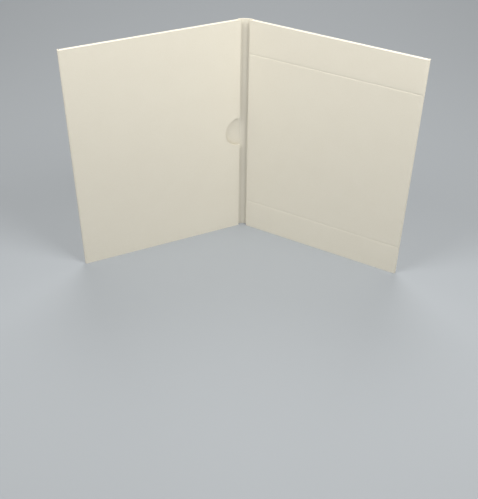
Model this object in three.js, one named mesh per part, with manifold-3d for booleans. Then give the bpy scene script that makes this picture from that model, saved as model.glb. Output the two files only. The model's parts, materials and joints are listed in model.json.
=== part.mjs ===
// A disc case of white paperboard, cut from one sheet, folded and glued, standing open like a book.
// Millimetres, +Z up. The case stands on its lower edges, its inside faces -Y, and the spine is at the back.
// The origin is the middle of the case's box, on the surface that it stands on.
import * as THREE from "three";
import { mergeVertices } from "three/addons/utils/BufferGeometryUtils.js";
import Module from "manifold-3d";

// Overall size: each cover from its hinge score to its fore edge, and the strip between the scores
const COVER_HEIGHT = 190;
const COVER_WIDTH = 140;
const SPINE_WIDTH = 6.5;

// How far each cover stands folded in from lying flat
const OPEN_FOLD = THREE.MathUtils.degToRad(26);

// The board, the inside radius of its folds, and the clear depth of each pocket
const BOARD = 0.6;
const FOLD_RADIUS = 0.3;
const POCKET_DEPTH = 1.8;

// The mouth of each pocket, beside the spine, and the thumb notch in the left one
const MOUTH_SETBACK = 1.4;
const THUMB_RADIUS = 12.5;

// Score lines pressed across the right pocket panel, above and below the disc's bay
const SCORE_FROM_EDGE = 27;
const SCORE_WIDTH = 1.8;
const SCORE_DEPTH = 0.3;
const SCORE_TO_FOLD = 0.5;

// Glue tabs folded in along the head and the foot, under the pocket panel
const TAB_FROM_HINGE = 3;
const TAB_TO_SCORE = 0.6;
const TAB_CHAMFER = 9;
const CORNER_SLIT = 0.4;

// Hinge scores: the board thins to a web, and the covers part from the spine by a hairline there
const HINGE_WEB = 0.3;
const HINGE_TAPER = 0.6;
const HINGE_GAP = 0.4;

// Roundness of the folds, the thumb notch and the score lines, in straight steps
const FOLD_STEPS = 5;
const THUMB_STEPS = 64;
const SCORE_STEPS = 10;

// How far a cutting body stands past what it cuts, how far joined strips run into each other, and the
// step to which outlines are rounded, so that faces meant to be flush are exactly flush
const CUT_MARGIN = 1;
const LAP = 2;
const GRAIN = 0.001;

// Sizes that follow from those above. Depths are measured inwards from the middle of the outer panel.
const FOLD_OUTER = FOLD_RADIUS + BOARD;
const POCKET_PANEL = POCKET_DEPTH + BOARD;
const TAB_PANEL = POCKET_PANEL - BOARD;
const POCKET_FACE = POCKET_PANEL + BOARD / 2;
const POCKET_LINING = POCKET_PANEL - BOARD / 2;
const TAB_REACH = SCORE_FROM_EDGE - SCORE_WIDTH / 2 - TAB_TO_SCORE;
const TAB_END = COVER_WIDTH - FOLD_OUTER - CORNER_SLIT;
const QUARTER_TURN = Math.PI / 2;

const wasm = await Module();
wasm.setup();

function solidFrom(geometry) {
  geometry.deleteAttribute("normal");
  geometry.deleteAttribute("uv");
  const merged = mergeVertices(geometry);
  return new wasm.Manifold(new wasm.Mesh({
    numProp: 3,
    vertProperties: merged.attributes.position.array,
    triVerts: merged.index.array,
  }));
}

function geometryFrom(solid) {
  const mesh = solid.getMesh();
  const geometry = new THREE.BufferGeometry();
  geometry.setAttribute("position", new THREE.BufferAttribute(mesh.vertProperties, 3));
  geometry.setIndex(new THREE.BufferAttribute(mesh.triVerts, 1));
  geometry.computeVertexNormals();
  return geometry;
}

const points = (...pairs) => pairs.map(([x, y]) => new THREE.Vector2(x, y));
const flush = (length) => Math.round(length / GRAIN) * GRAIN;
const shapeFrom = (outline) => new THREE.Shape(outline.map((p) => new THREE.Vector2(flush(p.x), flush(p.y))));

// The cut end of a strip of board that runs along `steps`: straight runs, which may thin or thicken
// towards their end, and quarter folds to the left. Points are (along the cover, inwards).
function stripSection(start, steps, startThickness = BOARD) {
  const leftSide = [];
  const rightSide = [];
  const point = start.clone();
  let heading = 0;
  let thickness = startThickness;

  const ahead = () => new THREE.Vector2(Math.cos(heading), Math.sin(heading));
  const mark = () => {
    const left = new THREE.Vector2(-Math.sin(heading), Math.cos(heading)).multiplyScalar(thickness / 2);
    leftSide.push(point.clone().add(left));
    rightSide.push(point.clone().sub(left));
  };

  mark();
  for (const step of steps) {
    if (step.run) {
      point.addScaledVector(ahead(), step.run);
      thickness = step.endThickness ?? thickness;
      mark();
    } else {
      const from = heading;
      const centreRadius = FOLD_RADIUS + BOARD / 2;
      const centre = point.clone().add(ahead().rotateAround(new THREE.Vector2(), QUARTER_TURN)
        .multiplyScalar(centreRadius));
      for (let i = 1; i <= FOLD_STEPS; i += 1) {
        heading = from + QUARTER_TURN * i / FOLD_STEPS;
        point.copy(centre).addScaledVector(ahead().rotateAround(new THREE.Vector2(), -QUARTER_TURN),
          centreRadius);
        mark();
      }
    }
  }
  return [...leftSide, ...rightSide.reverse()];
}

const FOLD = { fold: true };

// Upright prism over an outline of (along, inwards) points. `side` is 1 on the right, -1 on the left.
function uprightPrism(outline, side, bottom, top) {
  const shape = shapeFrom(outline.map((p) => new THREE.Vector2(side * p.x, -p.y)));
  const geometry = new THREE.ExtrudeGeometry(shape, { depth: top - bottom, bevelEnabled: false });
  geometry.translate(0, 0, bottom);
  return solidFrom(geometry);
}

// Prism that runs along the cover, over an outline of (height, inwards) points
function lengthwisePrism(outline, side, from, to) {
  const shape = shapeFrom(outline.map((p) => new THREE.Vector2(-p.y, p.x)));
  const geometry = new THREE.ExtrudeGeometry(shape, { depth: to - from, bevelEnabled: false });
  const lay = new THREE.Matrix4().makeBasis(
    new THREE.Vector3(0, 1, 0), new THREE.Vector3(0, 0, 1), new THREE.Vector3(1, 0, 0));
  geometry.applyMatrix4(lay);
  geometry.translate(side > 0 ? from : -to, 0, 0);
  return solidFrom(geometry);
}

// Prism that runs through the board, over an outline of (along, height) points
function piercingPrism(outline, side, shallow, deep) {
  const shape = shapeFrom(outline.map((p) => new THREE.Vector2(side * p.x, p.y)));
  const geometry = new THREE.ExtrudeGeometry(shape, { depth: deep - shallow, bevelEnabled: false });
  const lay = new THREE.Matrix4().makeBasis(
    new THREE.Vector3(1, 0, 0), new THREE.Vector3(0, 0, 1), new THREE.Vector3(0, -1, 0));
  geometry.applyMatrix4(lay);
  geometry.translate(0, -shallow, 0);
  return solidFrom(geometry);
}

// The outer panel, the fore-edge wall and the pocket panel are one strip, folded twice
function wrap(side) {
  const hingeEnd = HINGE_GAP / 2;
  const section = stripSection(new THREE.Vector2(hingeEnd, 0), [
    { run: HINGE_TAPER, endThickness: BOARD },
    { run: COVER_WIDTH - FOLD_OUTER - HINGE_TAPER - hingeEnd },
    FOLD,
    { run: POCKET_PANEL + BOARD - 2 * FOLD_OUTER },
    FOLD,
    { run: COVER_WIDTH - FOLD_OUTER - MOUTH_SETBACK },
  ], HINGE_WEB);
  return uprightPrism(section, side, 0, COVER_HEIGHT);
}

// Where a tab folds in, the outer panel stops at the fold, and a slit parts the fold from its neighbours
function tabCut(side, atHead) {
  const edge = atHead ? COVER_HEIGHT : 0;
  const inwards = atHead ? -1 : 1;
  const outline = points(
    [edge - inwards * CUT_MARGIN, -BOARD], [edge - inwards * CUT_MARGIN, BOARD],
    [edge + inwards * FOLD_OUTER, BOARD], [edge + inwards * FOLD_OUTER, -BOARD]);
  return lengthwisePrism(outline, side, TAB_FROM_HINGE - CORNER_SLIT, COVER_WIDTH - FOLD_OUTER);
}

// A glue tab: out of the outer panel, round the wall of the head or the foot, and back under the pocket
// panel, with its two free corners cut away
function gluedTab(side, atHead) {
  const flip = (p) => (atHead ? new THREE.Vector2(COVER_HEIGHT - p.x, p.y) : p);
  const section = stripSection(new THREE.Vector2(-FOLD_OUTER - LAP, 0), [
    { run: LAP },
    FOLD,
    { run: TAB_PANEL + BOARD - 2 * FOLD_OUTER },
    FOLD,
    { run: TAB_REACH - FOLD_OUTER },
  ]).map((p) => flip(new THREE.Vector2(-p.x, p.y)));
  let tab = lengthwisePrism(section, side, TAB_FROM_HINGE, TAB_END);

  const wedgeHeight = Math.min(TAB_REACH - FOLD_OUTER, TAB_CHAMFER * 2);
  for (const [end, inwards] of [[TAB_FROM_HINGE, 1], [TAB_END, -1]]) {
    const wedge = points(
      [end - inwards * CUT_MARGIN, TAB_REACH + CUT_MARGIN],
      [end + inwards * TAB_CHAMFER, TAB_REACH + CUT_MARGIN],
      [end + inwards * TAB_CHAMFER, TAB_REACH],
      [end, TAB_REACH - wedgeHeight],
      [end - inwards * CUT_MARGIN, TAB_REACH - wedgeHeight]).map(flip);
    tab = tab.subtract(piercingPrism(wedge, side, TAB_PANEL - BOARD, TAB_PANEL + BOARD));
  }
  return tab;
}

// A pressed line across the pocket panel: a rounded groove on its face and the bead that it raises inside
function scoreLine(pocket, side, height) {
  const dip = (face, back) => {
    const outline = points([height - SCORE_WIDTH / 2, back], [height + SCORE_WIDTH / 2, back]);
    for (let i = SCORE_STEPS; i >= 0; i -= 1) {
      const across = i / SCORE_STEPS - 0.5;
      const depth = SCORE_DEPTH * (1 + Math.cos(2 * Math.PI * across)) / 2;
      outline.push(new THREE.Vector2(height + across * SCORE_WIDTH, face - depth));
    }
    return outline;
  };
  const [from, to] = [MOUTH_SETBACK, COVER_WIDTH - FOLD_OUTER - SCORE_TO_FOLD];
  const bead = lengthwisePrism(dip(POCKET_LINING, POCKET_LINING + BOARD / 4), side, from, to);
  const groove = lengthwisePrism(dip(POCKET_FACE, POCKET_FACE + CUT_MARGIN), side,
    from - CUT_MARGIN, to);
  return pocket.add(bead).subtract(groove);
}

// A half-round notch in the free edge of the pocket panel, for a thumb
function thumbNotch(side) {
  const circle = new THREE.Shape().absarc(MOUTH_SETBACK, COVER_HEIGHT / 2, THUMB_RADIUS, 0, 2 * Math.PI)
    .getPoints(THUMB_STEPS);
  return piercingPrism(circle, side, POCKET_LINING - BOARD / 2, POCKET_FACE + CUT_MARGIN);
}

function cover(side) {
  let solid = wrap(side);
  for (const atHead of [true, false]) {
    solid = solid.subtract(tabCut(side, atHead)).add(gluedTab(side, atHead));
  }
  return solid;
}

function leftCover() {
  return cover(-1).subtract(thumbNotch(-1));
}

function rightCover() {
  let solid = cover(1);
  for (const height of [SCORE_FROM_EDGE, COVER_HEIGHT - SCORE_FROM_EDGE]) {
    solid = scoreLine(solid, 1, height);
  }
  return solid;
}

// The narrow strip between the two hinge scores
function spine() {
  const end = SPINE_WIDTH / 2 - HINGE_GAP / 2;
  const section = stripSection(new THREE.Vector2(-end, 0), [
    { run: HINGE_TAPER, endThickness: BOARD },
    { run: 2 * (end - HINGE_TAPER) },
    { run: HINGE_TAPER, endThickness: HINGE_WEB },
  ], HINGE_WEB);
  return uprightPrism(section, 1, 0, COVER_HEIGHT);
}

// Smooth, faintly warm white paperboard
function whiteBoard() {
  return new THREE.MeshStandardMaterial({ color: 0xeae4d6, roughness: 0.72, metalness: 0 });
}

function piece(name, solid) {
  const mesh = new THREE.Mesh(geometryFrom(solid), whiteBoard());
  mesh.name = name;
  return mesh;
}

// Each cover turns on its hinge score, at the edge of the spine
function hung(mesh, side) {
  const hinge = new THREE.Group();
  hinge.position.x = side * SPINE_WIDTH / 2;
  hinge.rotation.z = -side * OPEN_FOLD;
  hinge.add(mesh);
  return hinge;
}

const discCase = new THREE.Group();
discCase.add(
  piece("spine", spine()),
  hung(piece("left_cover", leftCover()), -1),
  hung(piece("right_cover", rightCover()), 1),
);

// The origin goes to the middle of the case's box, front to back
const box = new THREE.Box3().setFromObject(discCase, true);
discCase.position.y = -(box.min.y + box.max.y) / 2;
discCase.updateMatrixWorld(true);

export default discCase;
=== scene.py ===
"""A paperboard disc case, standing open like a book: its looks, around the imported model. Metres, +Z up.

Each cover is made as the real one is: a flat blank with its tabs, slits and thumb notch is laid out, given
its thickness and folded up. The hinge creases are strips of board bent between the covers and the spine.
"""
import json
import math

import bmesh
import bpy
from mathutils import Matrix, Vector
from mathutils.geometry import delaunay_2d_cdt


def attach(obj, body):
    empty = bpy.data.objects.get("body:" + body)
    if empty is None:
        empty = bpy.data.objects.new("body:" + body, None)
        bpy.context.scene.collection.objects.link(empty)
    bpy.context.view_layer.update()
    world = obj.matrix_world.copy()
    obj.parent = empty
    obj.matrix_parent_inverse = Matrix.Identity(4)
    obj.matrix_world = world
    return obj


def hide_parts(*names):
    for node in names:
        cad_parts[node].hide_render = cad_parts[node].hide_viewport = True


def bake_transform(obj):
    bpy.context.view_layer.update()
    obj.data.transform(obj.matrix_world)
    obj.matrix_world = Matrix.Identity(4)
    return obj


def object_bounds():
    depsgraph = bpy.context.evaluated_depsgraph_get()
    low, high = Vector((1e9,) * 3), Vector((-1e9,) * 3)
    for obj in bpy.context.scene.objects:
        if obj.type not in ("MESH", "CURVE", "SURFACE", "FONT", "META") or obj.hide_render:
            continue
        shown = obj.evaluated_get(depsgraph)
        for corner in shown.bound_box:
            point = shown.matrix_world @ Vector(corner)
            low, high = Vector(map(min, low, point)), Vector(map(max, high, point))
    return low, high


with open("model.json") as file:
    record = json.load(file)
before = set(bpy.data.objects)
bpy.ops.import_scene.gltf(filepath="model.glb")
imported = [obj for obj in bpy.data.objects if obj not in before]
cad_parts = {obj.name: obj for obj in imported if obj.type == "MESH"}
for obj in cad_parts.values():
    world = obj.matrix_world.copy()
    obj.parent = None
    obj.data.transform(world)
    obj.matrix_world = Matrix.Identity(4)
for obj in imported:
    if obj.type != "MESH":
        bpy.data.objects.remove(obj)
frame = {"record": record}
cad_box = [list(corner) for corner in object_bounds()]

MM = 0.001

# The case's own sizes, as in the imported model
COVER_WIDTH = 140 * MM
BOARD = 0.6 * MM
FOLD_RADIUS = 0.3 * MM
POCKET_DEPTH = 1.8 * MM
MOUTH_SETBACK = 1.4 * MM
THUMB_RADIUS = 12.5 * MM
SCORE_FROM_EDGE = 27 * MM
SCORE_WIDTH = 1.8 * MM
TAB_FROM_HINGE = 3 * MM
TAB_TO_SCORE = 0.6 * MM
TAB_CHAMFER = 9 * MM
CORNER_SLIT = 0.4 * MM

# Sizes that only the looks have: score lines as faint as in the photo, hinge creases pressed in from
# outside with the bead that this raises inside, and how far from its hinge line the board bends
SCORE_DEPTH = 0.12 * MM
CREASE_GROOVE = 0.16 * MM
CREASE_BEAD = 0.14 * MM
CREASE_REACH = 1.3 * MM

# What the board does by itself: the pocket panel bellies out a little, its mouth gapes, and the end of
# each tab shows through it as a soft step
BELLY = 0.22 * MM
GAPE = 0.18 * MM
TAB_SHOW = 0.03 * MM
TAB_STEP_REACH = 0.8 * MM

# Read from the frame: the height, the two hinges and how far the covers stand folded in
HINGES = {joint["child"]: joint for joint in frame["record"]["behaviour"]["joints"]}
LEFT_HINGE = Vector(HINGES["left_cover"]["pos_m"])
RIGHT_HINGE = Vector(HINGES["right_cover"]["pos_m"])
OPEN_FOLD = math.radians(-HINGES["right_cover"]["range_deg"][0])
COVER_HEIGHT = cad_box[1][2] - cad_box[0][2]
HALF_HEIGHT = COVER_HEIGHT / 2

# Sizes that follow from those above. Depths are from the middle of the outer panel, inwards.
FOLD_OUTER = FOLD_RADIUS + BOARD
POCKET_PANEL = POCKET_DEPTH + BOARD
TAB_PANEL = POCKET_PANEL - BOARD
CENTRE_RADIUS = FOLD_RADIUS + BOARD / 2
FOLD_LENGTH = CENTRE_RADIUS * math.pi / 2
FORE_FOLD = COVER_WIDTH - FOLD_OUTER
FORE_WALL = POCKET_PANEL + BOARD - 2 * FOLD_OUTER
TAB_WALL = TAB_PANEL + BOARD - 2 * FOLD_OUTER
TAB_REACH = SCORE_FROM_EDGE - SCORE_WIDTH / 2 - TAB_TO_SCORE
TAB_END = FORE_FOLD - CORNER_SLIT
TAB_TIP = 2 * FOLD_LENGTH + TAB_WALL + TAB_REACH - FOLD_OUTER
POCKET_START = FORE_FOLD + 2 * FOLD_LENGTH + FORE_WALL
MOUTH = POCKET_START + FORE_FOLD - MOUTH_SETBACK
GLUED = SCORE_FROM_EDGE - SCORE_WIDTH

# How fine the meshes are: on the panels, up the hinges, across the spine, and in each fold, score line,
# thumb notch and crease
PANEL_STEP = 4 * MM
UPRIGHT_STEP = 32 * MM
STRIP_STEP = 2 * MM
FOLD_STEPS = 8
SCORE_STEPS = 12
THUMB_STEPS = 40
CREASE_STEPS = 16

# How near is too near: two stops, a stop and a corner of the rim, a grid point and the rim, and two
# points that are welded. A hair is too small to matter, as a length or as a share.
SAME_STOP = 0.01 * MM
CORNER_ROOM = 0.05 * MM
RIM_ROOM = 0.04 * MM
WELD = 0.002 * MM
HAIR = 1e-6

# Folds sharper than this look like edges
SHARP_ANGLE = math.radians(35)

# The triangulation keeps what is inside the rim, and merges points this near, in millimetres
INSIDE_RIM = 1
MERGE_REACH = 1e-4

# The camera stands where the photograph's did, worked out from the case's own outlines
PHOTO_WIDTH, PHOTO_HEIGHT = 478, 499
FOCAL_PIXELS = 830.4
CAMERA_PLACE = Vector((14.5, -561.5, 439.6)) * MM
CAMERA_DOWN = math.radians(38.38)
CAMERA_YAW = math.radians(1.65)
CAMERA_ROLL = math.radians(0.77)
SENSOR = 36.0
NEAREST_SEEN = 10 * MM

# The soft lamps: where each stands, its width in metres and its power in watts
LAMPS = {
    "key": ((0.26, -0.21, 0.50), 0.30, 1.88),
    "fill": ((-0.27, -0.21, 0.50), 0.30, 1.48),
    "back": ((0.0, 0.85, 1.00), 1.00, 7.5),
}
LAMPS_AIM = (0.0, 0.0, COVER_HEIGHT * 0.8)
WARM_LIGHT = (1.0, 0.970, 0.905)
SURROUND_STRENGTH = 0.34
FLOOR_REACH = 6.0


class Flow:
    """A socket of a node tree that can be used in sums: each operator adds its Math node."""

    def __init__(self, net, socket):
        self.net = net
        self.socket = socket

    def maths(self, operation, *others):
        return self.net.maths(operation, self, *others)

    def __add__(self, other):
        return self.maths("ADD", other)

    def __sub__(self, other):
        return self.maths("SUBTRACT", other)

    def __rsub__(self, other):
        return self.net.maths("SUBTRACT", other, self)

    def __mul__(self, other):
        return self.maths("MULTIPLY", other)

    def __truediv__(self, other):
        return self.maths("DIVIDE", other)

    def __gt__(self, other):
        return self.maths("GREATER_THAN", other)

    def __lt__(self, other):
        return self.maths("LESS_THAN", other)

    __radd__ = __add__
    __rmul__ = __mul__

    def sine(self):
        return self.maths("SINE")

    def cosine(self):
        return self.maths("COSINE")

    def at_least(self, low):
        return self.maths("MAXIMUM", low)

    def between(self, low, high):
        """Held between two values."""
        return self.at_least(low).maths("MINIMUM", high)

    def rise(self, start, end):
        """Runs smoothly from 0 at start to 1 at end."""
        return self.net.add("ShaderNodeMapRange", {"Value": self, "From Min": start, "From Max": end},
                            {"interpolation_type": "SMOOTHSTEP"})


class Net:
    """A node tree, with one way to add any node to it."""

    def __init__(self, tree):
        self.tree = tree

    def add(self, kind, inputs=None, settings=None, output=0):
        """Adds a node, makes its settings, sets or links its sockets, and gives one of its outputs."""
        node = self.tree.nodes.new(kind)
        for name, value in (settings or {}).items():
            setattr(node, name, value)
        for name, value in (inputs or {}).items():
            if isinstance(value, Flow):
                self.tree.links.new(value.socket, node.inputs[name])
            else:
                node.inputs[name].default_value = value
        return Flow(self, node.outputs[output]) if node.outputs else None

    def maths(self, operation, *values):
        return self.add("ShaderNodeMath", dict(enumerate(values)), {"operation": operation})

    def mix(self, share, a, b):
        """Mixes two colours. On this node the colours are sockets 6 and 7, and the mixed one is output 2."""
        return self.add("ShaderNodeMix", {0: share, 6: a, 7: b}, {"data_type": "RGBA"}, 2)


def colour(red, green, blue):
    return (red, green, blue, 1.0)


def new_material(name):
    material = bpy.data.materials.new(name)
    material.use_nodes = True
    material.node_tree.nodes.clear()
    return material, Net(material.node_tree)


def board_face():
    """Smooth warm white board: faint cloudiness from its making, a felt of fine fibres, a soft sheen, and
    painted shade along its folds, score grooves and hinge creases.
    """
    body_dull, body_bright = colour(0.811, 0.776, 0.681), colour(0.819, 0.785, 0.691)
    felt_tone, felt_share = colour(0.850, 0.820, 0.735), 0.5
    fibre_tone, fibre_share = colour(0.748, 0.706, 0.600), 0.4
    # Painted shade: the darker tone, and how much of it lies along the folds, score grooves and creases
    fold_shade_tone, fold_shade_share = colour(0.720, 0.682, 0.590), 0.22
    fleck_tone = colour(0.730, 0.684, 0.566)
    base_roughness = 0.56

    material, net = new_material("white_board_face")
    place = net.add("ShaderNodeTexCoord", output="Object")
    clouds = net.add("ShaderNodeTexNoise", {
        "Vector": place, "Scale": 60.0, "Detail": 4.0, "Roughness": 0.55})
    felt = net.add("ShaderNodeTexNoise", {
        "Vector": place, "Scale": 2400.0, "Detail": 3.0, "Roughness": 0.6, "Distortion": 0.8})
    upright = net.add("ShaderNodeMapping", {"Vector": place, "Scale": (1.0, 1.0, 0.16)})
    fibres = net.add("ShaderNodeTexNoise", {
        "Vector": upright, "Scale": 3200.0, "Detail": 2.0, "Roughness": 0.6, "Distortion": 1.2})
    flecks = net.add("ShaderNodeTexVoronoi", {"Vector": place, "Scale": 700.0, "Randomness": 1.0})
    # The mask of painted shade along the folds, score lines and creases, read from the mesh
    fold_shade_mask = net.add("ShaderNodeAttribute", None, {"attribute_name": "fold_shade_mask"}, "Fac")

    tone = net.mix(clouds.rise(0.3, 0.7), body_dull, body_bright)
    tone = net.mix(felt.rise(0.40, 0.72) * felt_share, tone, felt_tone)
    tone = net.mix(fibres.rise(0.56, 0.78) * fibre_share, tone, fibre_tone)
    tone = net.mix(1 - flecks.rise(0.04, 0.12), tone, fleck_tone)
    # Painted shade darkens the board along its folds, score grooves and creases; the same mask also roughens
    # it a little
    tone = net.mix(fold_shade_mask * fold_shade_share, tone, fold_shade_tone)
    relief = net.add("ShaderNodeBump", {
        "Strength": 0.6, "Distance": 0.07 * MM, "Height": felt * 0.7 + fibres * 0.5})
    surface = net.add("ShaderNodeBsdfPrincipled", {
        "Base Color": tone,
        "Roughness": base_roughness + felt * 0.12 + fold_shade_mask * 0.06,
        "Specular IOR Level": 0.42,
        "Sheen Weight": 0.04,
        "Normal": relief,
    })
    net.add("ShaderNodeOutputMaterial", {"Surface": surface})
    return material


def board_edge():
    """The cut edge of the board: plies pressed together, a little warmer and rougher than its faces."""
    deep_tone, high_tone = colour(0.770, 0.735, 0.650), colour(0.850, 0.820, 0.740)
    drift_tone, drift_share = colour(0.815, 0.780, 0.690), 0.4
    base_roughness = 0.82

    material, net = new_material("white_board_edge")
    place = net.add("ShaderNodeTexCoord", output="Object")
    torn = net.add("ShaderNodeTexNoise", {
        "Vector": place, "Scale": 3500.0, "Detail": 3.0, "Roughness": 0.7})
    drift = net.add("ShaderNodeTexNoise", {
        "Vector": place, "Scale": 240.0, "Detail": 2.0, "Roughness": 0.5})
    tone = net.mix(torn.rise(0.35, 0.7), deep_tone, high_tone)
    tone = net.mix(drift.rise(0.4, 0.7) * drift_share, tone, drift_tone)
    relief = net.add("ShaderNodeBump", {"Strength": 0.6, "Distance": 0.04 * MM, "Height": torn})
    surface = net.add("ShaderNodeBsdfPrincipled", {
        "Base Color": tone,
        "Roughness": base_roughness + (torn - 0.5) * 0.1,
        "Specular IOR Level": 0.3,
        "Normal": relief,
    })
    net.add("ShaderNodeOutputMaterial", {"Surface": surface})
    return material


def studio_floor():
    """Plain pale ground, a little cooler than the board."""
    material, net = new_material("studio_floor")
    place = net.add("ShaderNodeTexCoord", output="Object")
    drift = net.add("ShaderNodeTexNoise", {"Vector": place, "Scale": 1.5, "Detail": 2.0})
    tone = net.mix(drift.rise(0.3, 0.7), colour(0.368, 0.400, 0.446), colour(0.376, 0.408, 0.454))
    surface = net.add("ShaderNodeBsdfPrincipled", {
        "Base Color": tone, "Roughness": 0.75, "Specular IOR Level": 0.2})
    net.add("ShaderNodeOutputMaterial", {"Surface": surface})
    return material


def in_scene(name, data):
    """A new object with this data, put into the scene."""
    thing = bpy.data.objects.new(name, data)
    bpy.context.scene.collection.objects.link(thing)
    return thing


def steps_between(start, end, longest):
    """Even stops from start to end, no further apart than `longest`."""
    count = max(1, math.ceil((end - start) / longest - HAIR))
    return [start + (end - start) * i / count for i in range(count + 1)]


def sorted_stops(*runs):
    """All the stops of several runs in order, those that nearly meet taken once."""
    stops = []
    for value in sorted(value for run in runs for value in run):
        if not stops or value - stops[-1] > SAME_STOP:
            stops.append(value)
    return stops


def sides_of(outline):
    """Each side of a closed outline, as its two ends."""
    return zip(outline, outline[1:] + outline[:1])


def blank_outline(with_notch):
    """The cut outline of one cover's blank, laid flat: x away from the hinge, y up."""
    head = COVER_HEIGHT
    tab_root = head - FOLD_OUTER
    tab_tip = tab_root + TAB_TIP
    chamfer_start = tab_tip - min(2 * TAB_CHAMFER, TAB_REACH - FOLD_OUTER)
    upper = [
        (CREASE_REACH, head),
        (TAB_FROM_HINGE - CORNER_SLIT, head),
        (TAB_FROM_HINGE - CORNER_SLIT, tab_root),
        (TAB_FROM_HINGE, tab_root),
        (TAB_FROM_HINGE, chamfer_start),
        (TAB_FROM_HINGE + TAB_CHAMFER, tab_tip),
        (TAB_END - TAB_CHAMFER, tab_tip),
        (TAB_END, chamfer_start),
        (TAB_END, tab_root),
        (FORE_FOLD, tab_root),
        (FORE_FOLD, head),
        (MOUTH, head),
    ]
    notch = []
    if with_notch:
        for i in range(THUMB_STEPS + 1):
            angle = math.pi / 2 + math.pi * i / THUMB_STEPS
            notch.append((MOUTH + THUMB_RADIUS * math.cos(angle), head / 2 + THUMB_RADIUS * math.sin(angle)))
    lower = [(x, head - y) for x, y in reversed(upper)]
    return upper + notch + lower


def inside(point, outline):
    """Whether a point lies inside a closed outline."""
    x, y = point
    within = False
    for (x1, y1), (x2, y2) in sides_of(outline):
        if (y1 > y) != (y2 > y) and x < x1 + (y - y1) * (x2 - x1) / (y2 - y1):
            within = not within
    return within


def near_outline(point, outline, distance):
    """Whether a point lies closer to the outline than a distance."""
    p = Vector(point)
    for a, b in sides_of(outline):
        start, run = Vector(a), Vector(b) - Vector(a)
        share = min(1.0, max(0.0, (p - start).dot(run) / (run.length_squared or 1.0)))
        if (start + run * share - p).length < distance:
            return True
    return False


def stops_on_side(a, b, columns, rows):
    """The grid's stops on a level or upright side of the outline, from end a to end b."""
    if abs(a[1] - b[1]) < HAIR:
        left, right = sorted((a[0], b[0]))
        stops = [(x, a[1]) for x in columns if left + CORNER_ROOM < x < right - CORNER_ROOM]
        return stops[::-1] if a[0] > b[0] else stops
    if abs(a[0] - b[0]) < HAIR:
        low, high = sorted((a[1], b[1]))
        stops = [(a[0], y) for y in rows if low + CORNER_ROOM < y < high - CORNER_ROOM]
        return stops[::-1] if a[1] > b[1] else stops
    return []


def flat_blank(name, with_notch, with_scores):
    """The blank as a flat mesh, finer across its folds and score lines."""
    tab_root = COVER_HEIGHT - FOLD_OUTER
    first_fold_end = tab_root + FOLD_LENGTH
    second_fold = first_fold_end + TAB_WALL
    fold_step = FOLD_LENGTH / FOLD_STEPS
    columns = sorted_stops(
        steps_between(CREASE_REACH, FORE_FOLD, PANEL_STEP),
        steps_between(FORE_FOLD, FORE_FOLD + FOLD_LENGTH, fold_step),
        steps_between(POCKET_START - FOLD_LENGTH, POCKET_START, fold_step),
        steps_between(POCKET_START, MOUTH, PANEL_STEP))
    upper_rows = [
        steps_between(HALF_HEIGHT, tab_root, PANEL_STEP),
        steps_between(tab_root, first_fold_end, fold_step),
        steps_between(second_fold, second_fold + FOLD_LENGTH, fold_step),
        steps_between(second_fold + FOLD_LENGTH, tab_root + TAB_TIP, PANEL_STEP)]
    if with_scores:
        score = COVER_HEIGHT - SCORE_FROM_EDGE
        upper_rows.append(steps_between(
            score - SCORE_WIDTH / 2, score + SCORE_WIDTH / 2, SCORE_WIDTH / SCORE_STEPS))
    rows = sorted_stops(*upper_rows, *[[COVER_HEIGHT - y for y in run] for run in upper_rows])

    outline = blank_outline(with_notch)
    rim = [point for a, b in sides_of(outline) for point in (a, *stops_on_side(a, b, columns, rows))]
    filling = [(x, y) for x in columns for y in rows
               if inside((x, y), outline) and not near_outline((x, y), outline, RIM_ROOM)]

    points = [Vector(p) / MM for p in rim + filling]
    corners, _, faces, *_ = delaunay_2d_cdt(points, [], [list(range(len(rim)))], INSIDE_RIM, MERGE_REACH)
    mesh = bpy.data.meshes.new(name)
    mesh.from_pydata([(p.x * MM, p.y * MM, 0.0) for p in corners], [], faces)
    mesh.update()
    return in_scene(name, mesh)


def double_fold(run, wall):
    """How far a strip has gone along and inwards, `run` past the start of two quarter folds."""
    first = run.between(0.0, FOLD_LENGTH) / CENTRE_RADIUS
    straight = (run - FOLD_LENGTH).between(0.0, wall)
    second = (run - (FOLD_LENGTH + wall)).between(0.0, FOLD_LENGTH) / CENTRE_RADIUS
    beyond = (run - (2 * FOLD_LENGTH + wall)).at_least(0.0)
    along = first.sine() * CENTRE_RADIUS - (1 - second.cosine()) * CENTRE_RADIUS - beyond
    inwards = (1 - first.cosine()) * CENTRE_RADIUS + straight + second.sine() * CENTRE_RADIUS
    in_fold = (first > 0.0) * (run < 2 * FOLD_LENGTH + wall)
    return along, inwards, in_fold


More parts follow.
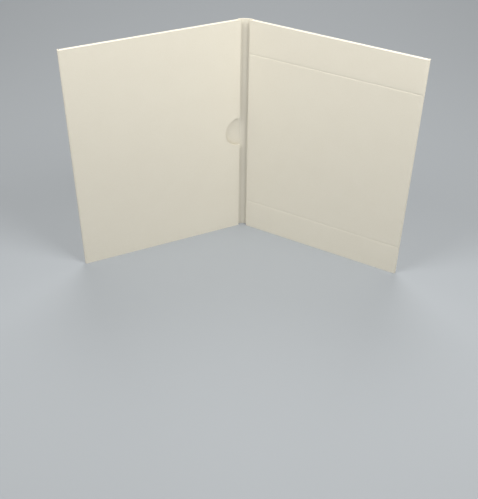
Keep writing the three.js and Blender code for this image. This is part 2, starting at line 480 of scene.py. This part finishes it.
def folding_tree(with_scores):
    """Geometry nodes that fold a flat blank up into a cover with its pocket."""
    tree = bpy.data.node_groups.new("fold_up_cover", "GeometryNodeTree")
    tree.interface.new_socket("Geometry", in_out="INPUT", socket_type="NodeSocketGeometry")
    sizes = {"Score depth": SCORE_DEPTH, "Belly": BELLY, "Mouth gape": GAPE, "Tab relief": TAB_SHOW}
    for name, size in sizes.items():
        socket = tree.interface.new_socket(name, in_out="INPUT", socket_type="NodeSocketFloat")
        socket.default_value = size
    tree.interface.new_socket("Board face", in_out="INPUT", socket_type="NodeSocketMaterial")
    tree.interface.new_socket("Geometry", in_out="OUTPUT", socket_type="NodeSocketGeometry")

    net = Net(tree)
    entry = tree.nodes.new("NodeGroupInput")
    given = {socket.name: Flow(net, socket) for socket in entry.outputs if socket.name}
    at = net.add("GeometryNodeInputPosition")
    x = net.add("ShaderNodeSeparateXYZ", {0: at}, output="X")
    y = net.add("ShaderNodeSeparateXYZ", {0: at}, output="Y")

    # The fore edge folds twice, over the whole height
    fore_run = (x - FORE_FOLD).at_least(0.0)
    fore_along, fore_in, fore_bend = double_fold(fore_run, FORE_WALL)

    # A tab folds twice, at the head or the foot, between its slits
    off_middle = (y - HALF_HEIGHT).maths("ABSOLUTE")
    on_tab = (x > TAB_FROM_HINGE - HAIR) * (x < TAB_END + HAIR)
    tab_run = (off_middle - (HALF_HEIGHT - FOLD_OUTER)).at_least(0.0) * on_tab
    tab_along, tab_in, tab_bend = double_fold(tab_run, TAB_WALL)
    head_or_foot = (y - HALF_HEIGHT).maths("SIGN")
    tab_shift = (tab_along - tab_run) * head_or_foot

    # The pocket panel bellies out between its glued edges, and most at its mouth
    on_pocket = x > POCKET_START - HAIR
    across = (x - POCKET_START) / (MOUTH - POCKET_START)
    free = (HALF_HEIGHT - GLUED - off_middle).between(0.0, COVER_HEIGHT) / (HALF_HEIGHT - GLUED)
    arch = (free * (math.pi / 2)).sine()
    swell = arch * arch * (given["Belly"] * (across * math.pi).sine().at_least(0.0)
                           + given["Mouth gape"] * across * across)
    tab_end = HALF_HEIGHT - TAB_REACH
    relief = off_middle.rise(tab_end - TAB_STEP_REACH, tab_end + TAB_STEP_REACH) * given["Tab relief"]
    dip = 0.0
    if with_scores:
        from_score = (off_middle - (HALF_HEIGHT - SCORE_FROM_EDGE)) / (SCORE_WIDTH / 2)
        dip = (from_score.between(-1.0, 1.0) * math.pi).cosine() * 0.5 + 0.5
    inwards = fore_in + tab_in + (swell + relief - dip * given["Score depth"]) * on_pocket

    place = net.add("ShaderNodeCombineXYZ", {0: x - fore_run + fore_along, 1: y + tab_shift, 2: inwards})
    folded = net.add("GeometryNodeSetPosition", {"Geometry": given["Geometry"], "Position": place})
    # The mask of painted shade: along each fold and in the score grooves
    fold_shade_mask = (fore_bend + tab_bend + dip * on_pocket).between(0.0, 1.0)
    marked = net.add("GeometryNodeStoreNamedAttribute", {
        "Geometry": folded, "Name": "fold_shade_mask", "Value": fold_shade_mask}, {"data_type": "FLOAT", "domain": "POINT"})
    realized = net.add("GeometryNodeRealizeInstances", {"Geometry": marked})
    dressed = net.add("GeometryNodeSetMaterial", {"Geometry": realized, "Material": given["Board face"]})
    leave = tree.nodes.new("NodeGroupOutput")
    tree.links.new(dressed.socket, leave.inputs[0])
    return tree


def set_input(modifier, name, value):
    for item in modifier.node_group.interface.items_tree:
        if item.item_type == "SOCKET" and item.in_out == "INPUT" and item.name == name:
            modifier[item.identifier] = value


def as_plain_mesh(source, name):
    """The evaluated mesh of an object as an object of its own, without modifiers."""
    bpy.context.view_layer.update()
    graph = bpy.context.evaluated_depsgraph_get()
    mesh = bpy.data.meshes.new_from_object(source.evaluated_get(graph), depsgraph=graph)
    bpy.data.objects.remove(source)
    mesh.name = name
    return in_scene(name, mesh)


def hinge_of(side):
    """The hinge of a cover: `side` is 1 on the right and -1 on the left, here and below."""
    return RIGHT_HINGE if side > 0 else LEFT_HINGE


def cover_axes(side):
    """From a cover's own places (along, up, inwards) to the shared frame."""
    hinge = hinge_of(side)
    along = Vector((side * math.cos(OPEN_FOLD), -math.sin(OPEN_FOLD), 0))
    inwards = Vector((-side * math.sin(OPEN_FOLD), -math.cos(OPEN_FOLD), 0))
    up = Vector((0, 0, 1))
    turn = Matrix((along, up, inwards)).transposed().to_4x4()
    return Matrix.Translation((hinge.x, hinge.y, 0)) @ turn


def close_and_smooth(piece, face, edge):
    """Points the faces outwards, gives cut edges their own material and smooths the folds."""
    mesh = piece.data
    work = bmesh.new()
    work.from_mesh(mesh)
    bmesh.ops.remove_doubles(work, verts=work.verts, dist=WELD)
    bmesh.ops.recalc_face_normals(work, faces=work.faces)
    work.to_mesh(mesh)
    work.free()
    mesh.materials.clear()
    mesh.materials.append(face)
    mesh.materials.append(edge)
    mesh.shade_smooth()
    mesh.set_sharp_from_angle(angle=SHARP_ANGLE)


def board_cover(name, side, face, edge):
    """A cover folded up from its blank: outer panel, walls, glued tabs and pocket panel."""
    left = side < 0
    blank = flat_blank(name + "_blank", with_notch=left, with_scores=not left)
    folding = blank.modifiers.new("Fold", "NODES")
    folding.node_group = folding_tree(with_scores=not left)
    set_input(folding, "Board face", face)
    thick = blank.modifiers.new("Board", "SOLIDIFY")
    thick.thickness = BOARD
    thick.offset = 0.0
    thick.material_offset_rim = 1
    cover = as_plain_mesh(blank, name + "_board")
    cover.data.transform(cover_axes(side))
    close_and_smooth(cover, face, edge)
    return cover


def upright_board(name, outer, inner, pressed, face, edge):
    """Board that stands over the cut section between an outer and an inner line, bottom to top.

    `pressed` says how much painted shade darkens the board at each point of the lines, from 0 to 1.
    """
    work = bmesh.new()
    # Each point's weight of painted shade
    marks = work.verts.layers.float.new("fold_shade_mask")
    levels = steps_between(0.0, COVER_HEIGHT, UPRIGHT_STEP)
    section = outer + inner[::-1]
    rings = [[work.verts.new((p.x, p.y, z)) for p in section] for z in levels]
    half, count = len(outer), len(section)
    for ring in rings:
        for vertex, mark in zip(ring, pressed + pressed[::-1]):
            vertex[marks] = mark
    for low, high in zip(rings, rings[1:]):
        for i in range(count):
            j = (i + 1) % count
            quad = work.faces.new((low[i], low[j], high[j], high[i]))
            quad.material_index = 1 if i in (half - 1, count - 1) else 0
    for ring in (rings[0], rings[-1]):
        for i in range(half - 1):
            cap = work.faces.new((ring[i], ring[i + 1], ring[count - 2 - i], ring[count - 1 - i]))
            cap.material_index = 1
    mesh = bpy.data.meshes.new(name)
    work.to_mesh(mesh)
    work.free()
    piece = in_scene(name, mesh)
    close_and_smooth(piece, face, edge)
    return piece


def hinge_crease(name, side, face, edge):
    """The strip of board that bends at a hinge, from the cover's flat to the spine's flat."""
    hinge = hinge_of(side)
    pivot = Vector((hinge.x, hinge.y))
    to_cover = Vector((side * math.cos(OPEN_FOLD), -math.sin(OPEN_FOLD)))
    to_spine = Vector((-side, 0.0))
    start = pivot + to_cover * CREASE_REACH
    end = pivot + to_spine * CREASE_REACH
    outer, inner, marks = [], [], []
    for i in range(CREASE_STEPS + 1):
        t = i / CREASE_STEPS
        middle = start * (1 - t) ** 2 + pivot * (2 * t * (1 - t)) + end * t ** 2
        heading = ((pivot - start) * (1 - t) + (end - pivot) * t).normalized()
        inwards = Vector((heading.y, -heading.x)) * -side
        pressed = ((math.cos(2 * math.pi * (t - 0.5)) + 1) / 2) ** 2
        # The same press profile sets the painted shade along the crease
        marks.append(pressed)
        outer.append(middle - inwards * (BOARD / 2 - CREASE_GROOVE * pressed))
        inner.append(middle + inwards * (BOARD / 2 + CREASE_BEAD * pressed))
    piece = upright_board(name, outer, inner, marks, face, edge)
    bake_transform(piece)
    return piece


def spine_strip(name, face, edge):
    """The flat strip between the two creases."""
    back = LEFT_HINGE.y
    xs = steps_between(LEFT_HINGE.x + CREASE_REACH, RIGHT_HINGE.x - CREASE_REACH, STRIP_STEP)
    outer = [Vector((x, back + BOARD / 2)) for x in xs]
    inner = [Vector((x, back - BOARD / 2)) for x in xs]
    return upright_board(name, outer, inner, [0.0] * len(xs), face, edge)


def photo_camera():
    data = bpy.data.cameras.new("photo_camera")
    data.sensor_width = SENSOR
    data.lens = SENSOR * FOCAL_PIXELS / max(PHOTO_WIDTH, PHOTO_HEIGHT)
    data.clip_start = NEAREST_SEEN
    camera = in_scene("photo_camera", data)
    turn = (Matrix.Rotation(CAMERA_YAW, 4, "Z") @ Matrix.Rotation(math.pi / 2 - CAMERA_DOWN, 4, "X")
            @ Matrix.Rotation(CAMERA_ROLL, 4, "Z"))
    camera.matrix_world = Matrix.Translation(CAMERA_PLACE) @ turn
    bpy.context.scene.camera = camera


def soft_lamp(name, place, width, power):
    data = bpy.data.lights.new(name, "AREA")
    data.shape = "DISK"
    data.size = width
    data.energy = power
    data.color = WARM_LIGHT
    lamp = in_scene(name, data)
    lamp.location = place
    lamp.rotation_euler = (Vector(LAMPS_AIM) - Vector(place)).to_track_quat("-Z", "Y").to_euler()


def studio():
    """A pale floor, two soft lamps high in front, a broad one behind, and a dim even surround."""
    mesh = bpy.data.meshes.new("floor")
    reach = FLOOR_REACH
    mesh.from_pydata([(-reach, -reach, 0), (reach, -reach, 0), (reach, reach, 0), (-reach, reach, 0)], [],
                     [(0, 1, 2, 3)])
    mesh.materials.append(studio_floor())
    floor = in_scene("floor", mesh)
    for name, (place, width, power) in LAMPS.items():
        soft_lamp(name, place, width, power)

    world = bpy.data.worlds.new("studio")
    world.use_nodes = True
    surround = world.node_tree.nodes["Background"]
    surround.inputs["Color"].default_value = colour(*WARM_LIGHT)
    surround.inputs["Strength"].default_value = SURROUND_STRENGTH
    bpy.context.scene.world = world

    # The plain view keeps the board's whites as light as the photo has them
    bpy.context.scene.view_settings.view_transform = "Standard"


photo_camera()
studio()

face_material = board_face()
edge_material = board_edge()

left_board = board_cover("left", -1, face_material, edge_material)
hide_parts("left_cover")
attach(left_board, "left_cover")
right_board = board_cover("right", 1, face_material, edge_material)
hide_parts("right_cover")
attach(right_board, "right_cover")
spine_board = spine_strip("spine_board", face_material, edge_material)
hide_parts("spine")
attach(spine_board, "spine")
left_crease = hinge_crease("left_hinge_crease", -1, face_material, edge_material)
right_crease = hinge_crease("right_hinge_crease", 1, face_material, edge_material)
